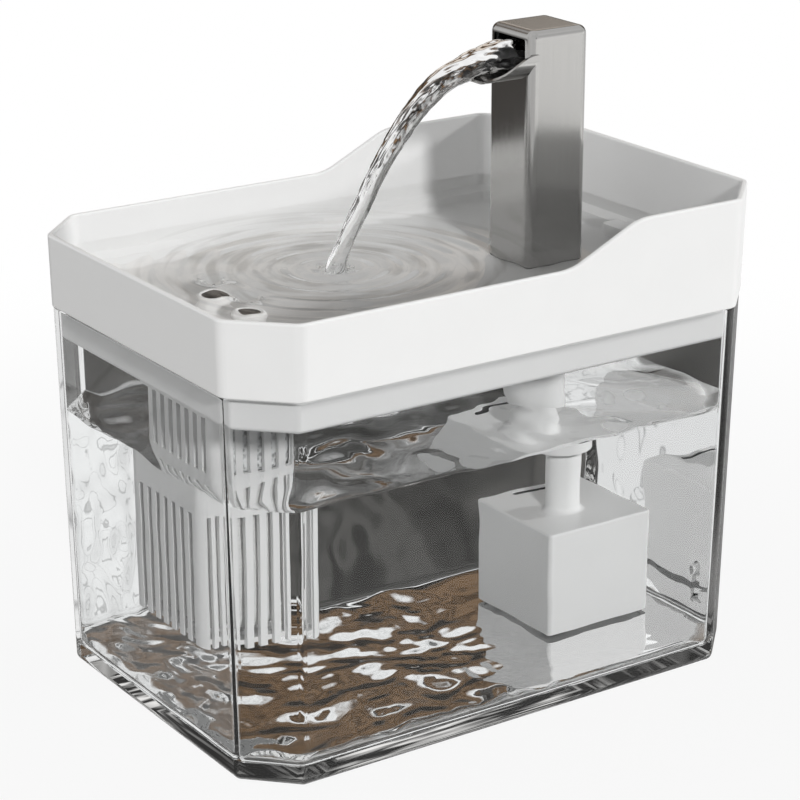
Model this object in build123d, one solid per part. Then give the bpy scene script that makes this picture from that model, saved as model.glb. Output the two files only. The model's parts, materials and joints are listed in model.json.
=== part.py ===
from build123d import *
from math import atan, cos, degrees, pi, sin, sqrt
import os

# Pet water fountain: clear tank, drinking tray, tap column, filter basket and pump.
# Millimetres, +Z up, origin at the centre of the tank's underside. The front, where the pet
# drinks, faces -Y. Each function makes one piece where it stands in the closed fountain.

# ---- outer form, shared by tank and tray ----
split_height = 127.0        # top of the tank's wall, where the tray's outer wall rests on it
half_width = 71.4           # along X, outside, at the split
half_length = 100.0         # along Y, outside, at the split
corner_leg = 17.0           # 45 degree corner, measured along each side
corner_radius = 5.0         # rounding of the eight vertical edges
least_radius = 2.0          # the same, on walls far inside
draft = 0.02                # every side leans out by this much per unit of height
draft_angle = degrees(atan(draft))
seam_edge = 0.6             # softened edges where tank and tray meet
past = 1.0                  # how far a cutter runs past the face it opens

# ---- tank ----
tank_wall = 3.0
tank_floor = 5.0
tank_foot_edge = 3.0        # rounding of the outer bottom edge
tank_inner_edge = 3.5       # rounding between floor and walls
notch_width = 8.0           # way out for the pump's lead, in the rear rim
notch_depth = 6.5
notch_edge = 2.5

# ---- tray ----
tray_proud = 0.4            # how far the tray stands out from the tank's face
nest_gap = 0.5              # tray's lower part to the tank's inner face
tray_wall = 2.0
tray_under = 116.0          # underside of the tray's floor
tray_floor = 118.0          # top of the tray's floor
tray_nest_edge = 1.5        # outer edge of the lower part
tray_basin_edge = 3.0       # rounding between basin floor and walls
tray_rim_edge = 0.7
ledge_low = 127.5           # inner step, where the basin widens to the rim wall
front_rim = 151.4
rear_rim = 163.7
ramp_start = 16.0           # Y where the side rims leave the front rim's height
ramp_end = 42.0             # Y where they reach the rear rim's height
ramp_radius = 20.0
recess_deep = 5.5           # lead recess behind the basin, in line with the tank's notch
recess_wall = 2.0

# ---- overflow pipes, pressed into the tray's floor ----
drain_x = 10.8
drain_y = -64.2
drain_top = 129.5
drain_radius = 5.5
drain_bore = 3.5
drain_flare = 1.6           # foot that rests on the floor round the hole
drain_lip = 1.0
drain_spigot = 4.6          # thinner end that passes through the floor
drain_hole = 4.7

# ---- collar and ribs under the tray ----
collar_gap = 0.3            # collar to basket
collar_wall = 2.0
collar_low = 108.0
collar_corner = 6.5
rib_x = 10.0
rib_thick = 1.6
rib_tall = 4.0

# ---- tap column ----
tap_y = 55.4
column_x = 24.0
column_y = 24.0
column_top = 211.9
column_wall = 1.3
column_edge = 3.2
column_crown = 3.0          # rounding of the top edges
gasket_top = 119.0
window_x = 17.2
window_low = 197.0
window_high = 209.0
window_edge = 0.8
chute_wall = 1.1
chute_half = 12.7
chute_under = 195.9
chute_corner = 6.5
chute_tip = 27.0            # Y of the pouring edge
chute_ear = 8.4             # how far the ears stand above the chute's underside
foot_height = 7.0           # plug in the column's lower end
foot_seat = 4.0             # depth of the duct's seat in it
duct_radius = 6.25
duct_bore = 4.75
slip = 0.1                  # room round a piece that is pushed into another

# ---- joint between tap and pump ----
socket_radius = 10.65
socket_bore = 8.3
socket_low = 68.0
socket_flange = 15.0
socket_flange_thick = 2.4
gusset_tall = 10.0
gusset_thick = 1.6
stem_radius = 7.95
stem_low = 104.0
stem_groove = 6.6           # radius left inside the ring groove
ring_mid_z = 109.0
riser_radius = 6.5
riser_bore = 5.1
riser_top = 90.0
riser_flare = 2.0

# ---- filter basket ----
basket_x = 46.0
basket_y = 30.0
basket_mid_y = -68.0
basket_low = 31.0
basket_top = 115.5
basket_wall = 1.6
basket_edge = 4.5
basket_floor = 2.6          # from the foot rim's lower edge to the top of the floor
slot_width = 2.6
slot_pitch = 5.2
slots_wide = 7
slots_deep = 5
lower_slots = (30.0, 76.0)
upper_slots = (86.0, 107.0)
floor_hole = 1.8
floor_hole_pitch = 8.0
snap_z = 111.5
snap_proud = 0.25
snap_long = 12.0

# ---- pump ----
box_x = 55.5
box_y = 43.0
box_mid_x = -3.75
box_mid_y = 58.3
box_low = 8.5
box_top = 45.5
box_wall = 1.8
plate_top = 11.1
cup_reach_x = 18.0
cup_reach_y = 15.5
cup_neck = 2.0              # hole in the plate
cup_head = 3.1              # counterbore in the plate
cup_head_deep = 1.2
rotor_y = 63.0              # the rotor turns about a line along X through this Y and Z
rotor_z = 26.3
chamber_radius = 12.2
casing_radius = 15.0
casing_low_x = -7.0
casing_high_x = 7.0
cover_thick = 2.0
cover_hub = 3.2
eye_radius = 6.0            # intake eye in the chamber's cover
seal_radius = 13.6
motor_y = 29.0
motor_z = 30.0
motor_wall = 1.8
motor_high_x = 21.5
well_radius = 6.6
well_wall = 1.0
well_deep = 10.0
stator_radius = 12.2
stator_ring = 1.8
pole_count = 6
shaft_radius = 1.2
nozzle_radius = 4.8
nozzle_bore = 3.5
nozzle_top = 52.0
gland_x = 12.0
gland_z = 14.2
gate_wide = 5.8             # lead gate in the box's rear wall, round the gland
gate_tall = 8.7
blade_count = 6
blade_thick = 1.1
wheel_radius = 10.6


def plan(z, inset=0.0):
    # octagonal plan of the flush outer wall at height z, moved inwards by inset
    grow = draft * (z - split_height) - inset
    outline = Rectangle(2 * (half_width + grow), 2 * (half_length + grow))
    outline = chamfer(outline.vertices(), corner_leg + (2 - sqrt(2)) * grow)
    outline = fillet(outline.vertices(), max(corner_radius + grow, least_radius))
    return Plane.XY.offset(z) * outline


def drafted(low, high, inset=0.0):
    # solid between two heights whose sides follow the outer wall's draft
    return extrude(plan(low, inset), high - low, taper=-draft_angle)


def edges_at(shape, z):
    return shape.edges().filter_by_position(Axis.Z, z - 0.02, z + 0.02)


def rounded_block(size_x, size_y, low, high, radius, mid=(0.0, 0.0)):
    outline = Pos(mid[0], mid[1], low) * RectangleRounded(size_x, size_y, radius)
    return extrude(outline, high - low)


def upright_tube(outer, inner, low, high, mid):
    ring = Circle(outer) - Circle(inner) if inner else Circle(outer)
    return extrude(Pos(mid[0], mid[1], low) * ring, high - low)


def lying(shape):
    # turns a shape made about +Z so that its axis is the rotor's, along +X
    return Pos(0, rotor_y, rotor_z) * Rot(0, 90, 0) * shape


def turned(points, mid=(0.0, 0.0)):
    # solid of revolution about an upright axis, from (radius, height) points
    profile = make_face(Polyline(*[(r, 0, z) for r, z in points], close=True))
    return Pos(mid[0], mid[1], 0) * revolve(profile, Axis.Z)


def make_tank():
    shell = drafted(0, split_height)
    shell = fillet(edges_at(shell, 0), tank_foot_edge)
    hollow = drafted(tank_floor, split_height + past, tank_wall)
    hollow = fillet(edges_at(hollow, tank_floor), tank_inner_edge)
    shell -= hollow
    shell = fillet(edges_at(shell, split_height), seam_edge)
    notch = Pos(0, half_length, split_height) * Box(notch_width, 4 * tank_wall, 2 * notch_depth)
    notch = fillet(notch.edges().filter_by(Axis.Y).group_by(Axis.Z)[0], notch_edge)
    return shell - notch


def ramp_cutter():
    # everything above the rim line, seen from the side
    reach = half_length + 20 * past
    sky = rear_rim + 20 * past
    line = Polyline(
        (-reach, front_rim),
        (ramp_start, front_rim),
        (ramp_end, rear_rim),
        (reach, rear_rim),
        (reach, sky),
        (-reach, sky),
        close=True,
    )
    profile = make_face(line)
    bends = [v for v in profile.vertices() if abs(v.X) < half_length]
    profile = fillet(bends, ramp_radius)
    return extrude(Plane.YZ * profile, half_width + 20 * past, both=True)


def make_tray():
    lower_inset = tank_wall + nest_gap
    rim_inset = tray_wall - tray_proud
    body = drafted(split_height, rear_rim + past, -tray_proud)
    body = fillet(edges_at(body, split_height), seam_edge)
    nest = drafted(tray_under, split_height + past, lower_inset)
    body += fillet(edges_at(nest, tray_under), tray_nest_edge)

    floor_inset = lower_inset + tray_wall
    ledge_high = ledge_low + floor_inset - rim_inset
    basin = drafted(tray_floor, ledge_low + 0.01, floor_inset)
    basin = fillet(edges_at(basin, tray_floor), tray_basin_edge)
    basin += loft([plan(ledge_low, floor_inset), plan(ledge_high, rim_inset)], ruled=True)
    basin += drafted(ledge_high, rear_rim + 2 * past, rim_inset)
    body = body - basin - ramp_cutter()

    # lead recess: a pad on the basin's side of the rear wall keeps the water out
    recess_wide = notch_width + 1
    recess_front = half_length - lower_inset - recess_deep
    pad_deep = 2 * (recess_deep + recess_wall)
    pad = rounded_block(
        recess_wide + 2 * recess_wall,
        pad_deep,
        tray_under,
        ledge_low + recess_wall,
        recess_wall,
        (0, recess_front - recess_wall + pad_deep / 2),
    )
    pad &= drafted(tray_under, rear_rim, lower_inset)
    recess = Box(recess_wide, pad_deep, 20 * past, align=(Align.CENTER, Align.MIN, Align.MAX))
    body = body + pad - Pos(0, recess_front, split_height) * recess

    for radius, mid in [
        (socket_bore, (0, tap_y)),
        (drain_hole, (-drain_x, drain_y)),
        (drain_hole, (drain_x, drain_y)),
    ]:
        body -= upright_tube(radius, 0, tray_under - past, tray_floor + past, mid)

    rim_faces = [f for f in body.faces() if f.center().Z > front_rim - past and f.normal_at().Z > 0.5]
    rim_edges = [e for f in rim_faces for e in f.edges()]
    outer_edges = [e for e in rim_edges if sum(e.is_same(other) for other in rim_edges) == 1]
    return fillet(outer_edges, tray_rim_edge)


def make_overflow_pipes():
    # raised pipes with a flared foot and a rolled lip
    flare = drain_radius + drain_flare
    lip_inner = drain_radius - drain_lip
    profile = make_face(
        [
            Line((drain_bore, tray_under), (drain_spigot, tray_under)),
            Line((drain_spigot, tray_under), (drain_spigot, tray_floor)),
            Line((drain_spigot, tray_floor), (flare, tray_floor)),
            RadiusArc((flare, tray_floor), (drain_radius, tray_floor + drain_flare), drain_flare),
            Line((drain_radius, tray_floor + drain_flare), (drain_radius, drain_top - drain_lip)),
            RadiusArc((drain_radius, drain_top - drain_lip), (lip_inner, drain_top), -drain_lip),
            Line((lip_inner, drain_top), (drain_bore, drain_top - drain_lip / 2)),
            Line((drain_bore, drain_top - drain_lip / 2), (drain_bore, tray_under)),
        ]
    )
    pipe = revolve(Plane.XZ * profile, Axis.Z)
    return Compound(children=[Pos(x, drain_y, 0) * pipe for x in (-drain_x, drain_x)])


def make_basket_collar():
    inner_x = basket_x + 2 * collar_gap
    inner_y = basket_y + 2 * collar_gap
    mid = (0, basket_mid_y)
    collar = rounded_block(
        inner_x + 2 * collar_wall, inner_y + 2 * collar_wall, collar_low, tray_under, collar_corner, mid
    )
    bore = rounded_block(inner_x, inner_y, collar_low - past, tray_under + past, basket_edge + collar_gap, mid)
    return collar - bore


def make_floor_ribs():
    # stiffen the tray's floor between the collar and the riser's socket
    start = basket_mid_y + basket_y / 2 + collar_gap + collar_wall
    end = tap_y - socket_flange - past
    rib = Box(rib_thick, end - start, rib_tall, align=(Align.CENTER, Align.MIN, Align.MAX))
    return Compound(children=[Pos(x, start, tray_under) * rib for x in (-rib_x, rib_x)])


def make_riser_socket():
    flange_low = tray_under - socket_flange_thick
    socket = turned(
        [
            (socket_bore, socket_low + 1),
            (socket_bore + 1, socket_low),
            (socket_radius, socket_low),
            (socket_radius, flange_low),
            (socket_flange, flange_low),
            (socket_flange, tray_under),
            (socket_bore, tray_under),
        ],
        (0, tap_y),
    )
    root = socket_radius - 0.3
    for turn in range(4):
        gusset = Polyline(
            (root, 0, flange_low + 0.4),
            (root, 0, tray_under - gusset_tall),
            (socket_flange - 1, 0, flange_low + 0.4),
            close=True,
        )
        plate = extrude(make_face(gusset), gusset_thick / 2, both=True)
        socket += Pos(0, tap_y, 0) * Rot(0, 0, 45 + 90 * turn) * plate
    return socket


def column_solid():
    block = rounded_block(column_x, column_y, gasket_top, column_top, column_edge, (0, tap_y))
    return fillet(edges_at(block, column_top), column_crown)


def make_faucet_column():
    hollow = rounded_block(
        column_x - 2 * column_wall,
        column_y - 2 * column_wall,
        gasket_top - past,
        column_top - column_wall,
        column_edge - column_wall,
        (0, tap_y),
    )
    window = Box(window_x, 8 * past, window_high - window_low)
    window = fillet(window.edges().filter_by(Axis.Y), window_edge)
    front = tap_y - column_y / 2
    return column_solid() - hollow - Pos(0, front, (window_low + window_high) / 2) * window


def make_spout_chute():
    # U-shaped trough cut to an S-shaped side edge, its rear ears on the column's sides
    wide = 2 * chute_half
    tall = 14.0

    def channel(inset):
        shape = Pos(0, chute_under + inset + tall / 2) * Rectangle(wide - 2 * inset, tall)
        low = shape.vertices().group_by(Axis.Y)[0]
        return fillet(low, chute_corner - inset)

    trough = extrude(Plane.XZ * (channel(0) - channel(chute_wall)), -80 * past)
    inside = chute_under + chute_wall
    ear_y = tap_y - column_y / 2 + 4.0
    ear_top = chute_under + chute_ear
    edge = Bezier(
        (ear_y - 1, ear_top),
        (ear_y - 9, ear_top + 0.4),
        (chute_tip + 8, inside + 0.2),
        (chute_tip, inside),
    )
    nose = RadiusArc((chute_tip, inside), (chute_tip, chute_under), chute_wall * 0.6)
    sole = Line((chute_tip, chute_under), (ear_y - 5, chute_under))
    heel = RadiusArc((ear_y - 5, chute_under), (ear_y, ear_top - 1.4), 9.0)
    ear = RadiusArc((ear_y, ear_top - 1.4), (ear_y - 1, ear_top), 1.2)
    side = make_face([edge, nose, sole, heel, ear])
    scoop = trough & extrude(Plane.YZ * side, chute_half + past, both=True)
    return scoop - column_solid()


def make_spout_duct():
    # upright duct that opens into a box-shaped mouth behind the window
    head_x = column_x - 2 * (column_wall + slip)
    head_y = column_y - 2 * (column_wall + slip)
    head_low = window_low - 4.5
    head_high = column_top - column_wall - slip
    head = rounded_block(head_x, head_y, head_low, head_high, column_edge - column_wall, (0, tap_y))
    tube_low = gasket_top + foot_height - foot_seat
    tube = upright_tube(duct_radius, 0, tube_low, head_low + 0.1, (0, tap_y))
    margin = 0.4
    mouth = Box(
        window_x - 1,
        head_y - 3,
        window_high - window_low - 2 * margin,
        align=(Align.CENTER, Align.MIN, Align.MIN),
    )
    mouth = fillet(mouth.edges().filter_by(Axis.Y), 1.5 * window_edge)
    mouth_at = Pos(0, tap_y - head_y / 2 - 0.1, window_low + margin)
    bore = upright_tube(duct_bore, 0, tube_low - past, window_low + 2, (0, tap_y))
    return head + tube - mouth_at * mouth - bore


def make_faucet_stem():
    foot = rounded_block(
        column_x - 2 * (column_wall + slip),
        column_y - 2 * (column_wall + slip),
        gasket_top,
        gasket_top + foot_height,
        column_edge - column_wall,
        (0, tap_y),
    )
    seat = gasket_top + foot_height - foot_seat
    plug = turned(
        [
            (duct_bore, stem_low),
            (stem_radius - 0.8, stem_low),
            (stem_radius, stem_low + 1),
            (stem_radius, ring_mid_z - 1),
            (stem_groove, ring_mid_z - 1),
            (stem_groove, ring_mid_z + 1),
            (stem_radius, ring_mid_z + 1),
            (stem_radius, gasket_top + 0.5),
            (duct_bore, gasket_top + 0.5),
        ],
        (0, tap_y),
    )
    stem = foot + plug
    stem -= upright_tube(duct_bore, 0, stem_low - past, seat + past, (0, tap_y))
    return stem - upright_tube(duct_radius, 0, seat, seat + foot_seat + past, (0, tap_y))


def make_stem_ring():
    thick = 0.78
    return Pos(0, tap_y, ring_mid_z) * Torus(stem_groove + thick + 0.02, thick)


def make_column_gasket():
    set_back = 0.4
    pad = rounded_block(
        column_x - 2 * set_back, column_y - 2 * set_back, tray_floor, gasket_top, 2.5, (0, tap_y)
    )
    return pad - upright_tube(stem_radius + slip, 0, tray_floor - past, gasket_top + past, (0, tap_y))


def slot_row(low, high):
    # cutters for one tier of slots, through the basket's four walls
    reach = basket_wall + 0.15 + past
    tall = high - low
    mid_z = (low + high) / 2
    cutters = []
    for side in (-1, 1):
        for i in range(slots_wide):
            x = (i - (slots_wide - 1) / 2) * slot_pitch
            y = basket_mid_y + side * (basket_y / 2 + past - reach / 2)
            cutters.append(Pos(x, y, mid_z) * Box(slot_width, reach, tall))
        for i in range(slots_deep):
            y = basket_mid_y + (i - (slots_deep - 1) / 2) * slot_pitch
            x = side * (basket_x / 2 + past - reach / 2)
            cutters.append(Pos(x, y, mid_z) * Box(reach, slot_width, tall))
    return cutters


def make_filter_basket():
    mid = (0, basket_mid_y)
    inner = (basket_x - 2 * basket_wall, basket_y - 2 * basket_wall)
    inner_edge = basket_edge - basket_wall
    basket = rounded_block(basket_x, basket_y, basket_low, basket_top, basket_edge, mid)
    basket -= rounded_block(*inner, basket_low + basket_floor, basket_top + past, inner_edge, mid)
    basket -= rounded_block(*inner, basket_low - past, basket_low + 1, inner_edge, mid)
    basket -= slot_row(*lower_slots)
    basket -= slot_row(*upper_slots)
    for i in range(-2, 3):
        for j in range(-1, 2):
            spot = (i * floor_hole_pitch, basket_mid_y + j * floor_hole_pitch)
            basket -= upright_tube(floor_hole, 0, basket_low, basket_low + basket_floor + past, spot)
    # snap ribs that grip the tray's collar
    for side in (-1, 1):
        place = Pos(0, basket_mid_y + side * basket_y / 2, snap_z) * Rot(0, 90, 0)
        basket += place * Cylinder(snap_proud, snap_long)
    return basket


def make_filter_sponge():
    return rounded_block(basket_x - 4, basket_y - 4, 84.0, 112.0, 2.5, (0, basket_mid_y))


def make_filter_cartridge():
    low, high = 34.0, 82.0
    bag = rounded_block(basket_x - 4.2, basket_y - 4.2, low, high, 5.0, (0, basket_mid_y))
    return fillet(edges_at(bag, low) + edges_at(bag, high), 4.0)


def box_shell(low, high, inset, radius):
    return rounded_block(box_x - 2 * inset, box_y - 2 * inset, low, high, radius, (box_mid_x, box_mid_y))


def make_pump_box():
    box = box_shell(box_low, box_top, 0, 1.5)
    box = fillet(edges_at(box, box_top), 0.8)
    box -= box_shell(box_low - past, box_top - box_wall, box_wall, 0.8)
    left = box_mid_x - box_x / 2
    top_slot = Pos(left + 5.2, box_mid_y - 1, box_top) * SlotOverall(17, 3.2, rotation=90)
    box -= extrude(top_slot, -2 * box_wall)
    intake_count = 6
    for i in range(intake_count):
        y = box_mid_y + (i - (intake_count - 1) / 2) * 5.0
        box -= Pos(left, y, 25) * Box(2 * (box_wall + past), 2.4, 22)
    box -= upright_tube(riser_bore, 0, box_top - 2 * box_wall, box_top + past, (0, tap_y))
    gate = Box(gate_wide, 2 * (box_wall + past), 2 * gate_tall)
    gate = Pos(gland_x, box_mid_y + box_y / 2, box_low) * gate
    return box - fillet(gate.edges().filter_by(Axis.Y).group_by(Axis.Z)[-1], 2.6)


def make_outlet_tube():
    flare = riser_radius + riser_flare
    bevel = 0.6
    profile = make_face(
        [
            Line((riser_bore, box_top), (flare, box_top)),
            RadiusArc((flare, box_top), (riser_radius, box_top + riser_flare), riser_flare),
            Line((riser_radius, box_top + riser_flare), (riser_radius, riser_top - bevel)),
            Line((riser_radius, riser_top - bevel), (riser_radius - bevel, riser_top)),
            Line((riser_radius - bevel, riser_top), (riser_bore, riser_top)),
            Line((riser_bore, riser_top), (riser_bore, box_top)),
        ]
    )
    return Pos(0, tap_y, 0) * revolve(Plane.XZ * profile, Axis.Z)


def make_tube_seal():
    # sleeve with two lips that seal in the socket's bore
    low = riser_top - 11
    lip = socket_bore - 0.2
    core = lip - 0.7
    points = [(riser_radius, low), (core, low)]
    for z in (low + 2.5, low + 6.5):
        points += [(core, z - 0.8), (lip, z), (core, z + 0.8)]
    points += [(core, low + 9), (riser_radius, low + 10)]
    return turned(points, (0, tap_y))


cup_places = [
    (box_mid_x + i * cup_reach_x, box_mid_y + j * cup_reach_y) for i in (-1, 1) for j in (-1, 1)
]


def make_pump_base():
    clear = 0.25
    plate = box_shell(box_low + 0.2, plate_top, box_wall + clear, 0.6)
    for place in cup_places:
        plate -= upright_tube(cup_neck, 0, box_low - past, plate_top + past, place)
        plate -= upright_tube(cup_head, 0, plate_top - cup_head_deep, plate_top + past, place)
    return plate


def make_suction_cups():
    # each head sits in a counterbore of the plate, each lip stands on the tank's floor
    points = [
        (0, tank_floor + 1.4),
        (3.4, tank_floor + 1.1),
        (5.1, tank_floor),
        (5.7, tank_floor),
        (4.4, tank_floor + 2),
        (2.6, box_low - 0.1),
        (2.6, box_low + 0.2),
        (cup_neck - 0.05, box_low + 0.2),
        (cup_neck - 0.05, plate_top - cup_head_deep),
        (cup_head - 0.1, plate_top - cup_head_deep),
        (cup_head - 0.1, plate_top - 0.4),
        (cup_head - 0.7, plate_top),
        (0, plate_top),
    ]
    return Compound(children=[turned(points, place) for place in cup_places])


def make_volute():
    length = casing_high_x - casing_low_x
    casing = lying(Pos(0, 0, casing_low_x) * extrude(Circle(casing_radius), length))
    foot = Box(length, 20, 8, align=(Align.CENTER, Align.CENTER, Align.MIN))
    nozzle = upright_tube(nozzle_radius, 0, rotor_z, nozzle_top, (0, tap_y))
    volute = casing + Pos(0, rotor_y, plate_top) * foot + nozzle
    volute -= lying(Pos(0, 0, casing_low_x) * extrude(Circle(chamber_radius), length))
    volute -= lying(Pos(0, 0, casing_low_x) * extrude(Circle(chamber_radius + 0.8), cover_thick))
    groove_deep = 1.1
    groove = Circle(seal_radius + 0.6) - Circle(seal_radius - 0.6)
    volute -= lying(Pos(0, 0, casing_high_x - groove_deep) * extrude(groove, groove_deep))
    return volute - upright_tube(nozzle_bore, 0, rotor_z + 4, nozzle_top + past, (0, tap_y))


def make_volute_cover():
    disc = Circle(chamber_radius + 0.7) - Circle(eye_radius)
    spoke_mid = (eye_radius + cover_hub) / 2 - 0.2
    spokes = Sketch() + [Rot(0, 0, 120 * i) * Pos(spoke_mid, 0) * Rectangle(4, 1.4) for i in range(3)]
    plate = extrude(disc + spokes + Circle(cover_hub), cover_thick)
    plate += extrude(Circle(cover_hub), cover_thick + 0.6)
    plate -= extrude(Circle(2 * shaft_radius), cover_thick + past)
    return lying(Pos(0, 0, casing_low_x) * plate)


def make_volute_seal():
    return lying(Pos(0, 0, casing_high_x - 0.55) * Torus(seal_radius, 0.52))


def make_motor_case():
    length = motor_high_x - casing_high_x
    case = extrude(RectangleRounded(motor_z, motor_y, 3), length)
    cavity = RectangleRounded(motor_z - 2 * motor_wall, motor_y - 2 * motor_wall, 1.5)
    can = extrude(Circle(well_radius + well_wall), well_deep + 3)
    case = case - Pos(0, 0, 1.6) * extrude(cavity, length) + can
    case -= extrude(Circle(well_radius), well_deep)
    case -= extrude(Circle(3.0), well_deep + 2)
    return lying(Pos(0, 0, casing_high_x) * case)


def make_stator_core():
    ring = Circle(stator_radius) - Circle(stator_radius - stator_ring)
    pole = Pos(9.2, 0) * Rectangle(2.8, 2.4)
    for i in range(pole_count):
        ring += Rot(0, 0, 360 * i / pole_count) * pole
    return lying(Pos(0, 0, 10) * extrude(ring, 6))


def make_stator_coils():
    winding = Box(1.6, 4.8, 8.4) - Box(3, 2.5, 6.1)
    turns = [Rot(0, 0, 360 * i / pole_count) for i in range(pole_count)]
    return Compound(children=[lying(turn * Pos(9.3, 0, 13) * winding) for turn in turns])


def make_driver_board():
    board = Circle(stator_radius) - Circle(8.0)
    return lying(Pos(0, 0, 17.8) * extrude(board, 1.2))


def make_potting_plug():
    outline = RectangleRounded(motor_z - 3.8, motor_y - 3.8, 1.4)
    around_well = extrude(outline - Circle(well_radius + well_wall + 0.1), 1.1)
    cap = Pos(0, 0, 1.1) * extrude(outline, 1.0)
    return lying(Pos(0, 0, 19.3) * (around_well + cap))


def make_rotor_shaft():
    return lying(Pos(0, 0, -6.6) * extrude(Circle(shaft_radius), 25.2))


def bush(outer, low, high):
    ring = Circle(outer) - Circle(shaft_radius)
    return lying(Pos(0, 0, low) * extrude(ring, high - low))


def make_front_bush():
    return bush(2.35, casing_low_x + 0.2, -4.6)


def make_rear_bush():
    return bush(2.95, 17.1, 18.9)


def make_cable_gland():
    # stands on the motor case's rear side, where the lead leaves it
    face = rotor_y + motor_y / 2
    body = turned([(1.7, 0), (2.6, 0), (2.6, 1.2), (2.4, 1.8), (2.1, 5), (1.7, 5)])
    return Pos(gland_x, face, gland_z) * Rot(-90, 0, 0) * body


def make_intake_sponge():
    low_x = box_mid_x - box_x / 2 + box_wall + 0.4
    high_x = casing_low_x - 1.2
    deep = box_y - 2 * box_wall - 0.8
    block = Box(high_x - low_x, deep, 31.5, align=(Align.MIN, Align.CENTER, Align.MIN))
    return Pos(low_x, box_mid_y, plate_top + 0.2) * fillet(block.edges().filter_by(Axis.Z), 1.0)


def make_impeller():
    # back plate with curved blades on a long hub, bored to run on the shaft
    hub_radius = 3.0
    wheel = Pos(0, 0, 4.8) * extrude(Circle(wheel_radius), 1.6)
    wheel += Pos(0, 0, -3.8) * extrude(Circle(hub_radius), 11.0)
    blade_low, blade_high = -3.2, 5.0
    root, middle, tip = 2.6, 6.4, 10.2
    skew = blade_thick / 9.5
    for i in range(blade_count):
        turn = 2 * pi * i / blade_count

        def polar(radius, angle):
            return (radius * cos(turn + angle), radius * sin(turn + angle))

        blade = make_face(
            [
                ThreePointArc(polar(root, 0), polar(middle, 0.22), polar(tip, 0.75)),
                Line(polar(tip, 0.75), polar(tip, 0.75 + skew)),
                ThreePointArc(polar(tip, 0.75 + skew), polar(middle, 0.22 + 1.6 * skew), polar(root, 0.35)),
                Line(polar(root, 0.35), polar(root, 0)),
            ]
        )
        wheel += Pos(0, 0, blade_low) * extrude(blade, blade_high - blade_low)
    wheel -= Pos(0, 0, -5) * extrude(Circle(shaft_radius + 0.08), 14)
    return lying(wheel)


def make_rotor_magnet():
    ring = Circle(well_radius - 0.6) - Circle(shaft_radius + 0.1)
    return lying(Pos(0, 0, casing_high_x + 0.2) * extrude(ring, 9.2))


pieces = {
    "tank": make_tank,
    "tray": make_tray,
    "overflow_pipes": make_overflow_pipes,
    "basket_collar": make_basket_collar,
    "floor_ribs": make_floor_ribs,
    "riser_socket": make_riser_socket,
    "faucet_column": make_faucet_column,
    "spout_chute": make_spout_chute,
    "spout_duct": make_spout_duct,
    "faucet_stem": make_faucet_stem,
    "stem_ring": make_stem_ring,
    "column_gasket": make_column_gasket,
    "filter_basket": make_filter_basket,
    "filter_sponge": make_filter_sponge,
    "filter_cartridge": make_filter_cartridge,
    "pump_box": make_pump_box,
    "outlet_tube": make_outlet_tube,
    "tube_seal": make_tube_seal,
    "pump_base": make_pump_base,
    "suction_cups": make_suction_cups,
    "volute": make_volute,
    "volute_cover": make_volute_cover,
    "volute_seal": make_volute_seal,
    "motor_case": make_motor_case,
    "stator_core": make_stator_core,
    "stator_coils": make_stator_coils,
    "driver_board": make_driver_board,
    "potting_plug": make_potting_plug,
    "rotor_shaft": make_rotor_shaft,
    "front_bush": make_front_bush,
    "rear_bush": make_rear_bush,
    "cable_gland": make_cable_gland,
    "intake_sponge": make_intake_sponge,
    "impeller": make_impeller,
    "rotor_magnet": make_rotor_magnet,
}

os.makedirs("parts", exist_ok=True)
for name, make in pieces.items():
    export_step(make(), f"parts/{name}.step")
    print(name)
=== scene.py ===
import bpy
import json
import math
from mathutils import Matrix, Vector, noise


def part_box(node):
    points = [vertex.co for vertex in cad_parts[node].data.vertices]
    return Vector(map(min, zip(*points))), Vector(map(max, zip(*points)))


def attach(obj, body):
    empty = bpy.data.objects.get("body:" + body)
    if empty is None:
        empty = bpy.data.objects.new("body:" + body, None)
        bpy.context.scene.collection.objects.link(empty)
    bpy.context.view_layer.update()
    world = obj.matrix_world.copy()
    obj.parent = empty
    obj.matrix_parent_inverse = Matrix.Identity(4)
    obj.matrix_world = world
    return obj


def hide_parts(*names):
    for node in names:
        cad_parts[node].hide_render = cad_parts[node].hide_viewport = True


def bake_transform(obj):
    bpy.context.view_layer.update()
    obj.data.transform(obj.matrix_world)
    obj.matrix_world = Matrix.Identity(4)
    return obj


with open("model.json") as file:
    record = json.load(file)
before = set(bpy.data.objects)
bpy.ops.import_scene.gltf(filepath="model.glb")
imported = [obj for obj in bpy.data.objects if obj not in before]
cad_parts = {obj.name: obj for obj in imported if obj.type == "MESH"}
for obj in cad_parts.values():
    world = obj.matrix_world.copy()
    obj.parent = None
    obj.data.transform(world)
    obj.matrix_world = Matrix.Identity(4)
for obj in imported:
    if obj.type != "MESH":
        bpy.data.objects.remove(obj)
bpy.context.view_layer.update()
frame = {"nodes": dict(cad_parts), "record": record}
mm = 0.001


def say(words):
    print("fountain:", words)


cameraSetup = {
    "place": (0.6836, -0.4615, 0.3842),
    "lookAt": (0.0, 0.0, 0.090683),
    "lens": 117.8,
    "sensor": 36.0,
}


def makeCamera(setup):
    data = bpy.data.cameras.new("camera")
    data.lens = setup["lens"]
    data.sensor_width = setup["sensor"]
    camera = bpy.data.objects.new("camera", data)
    bpy.context.scene.collection.objects.link(camera)
    camera.location = setup["place"]
    gaze = Vector(setup["lookAt"]) - Vector(setup["place"])
    camera.rotation_euler = gaze.to_track_quat("-Z", "Y").to_euler()
    bpy.context.scene.camera = camera


makeCamera(cameraSetup)
say("camera set")


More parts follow.
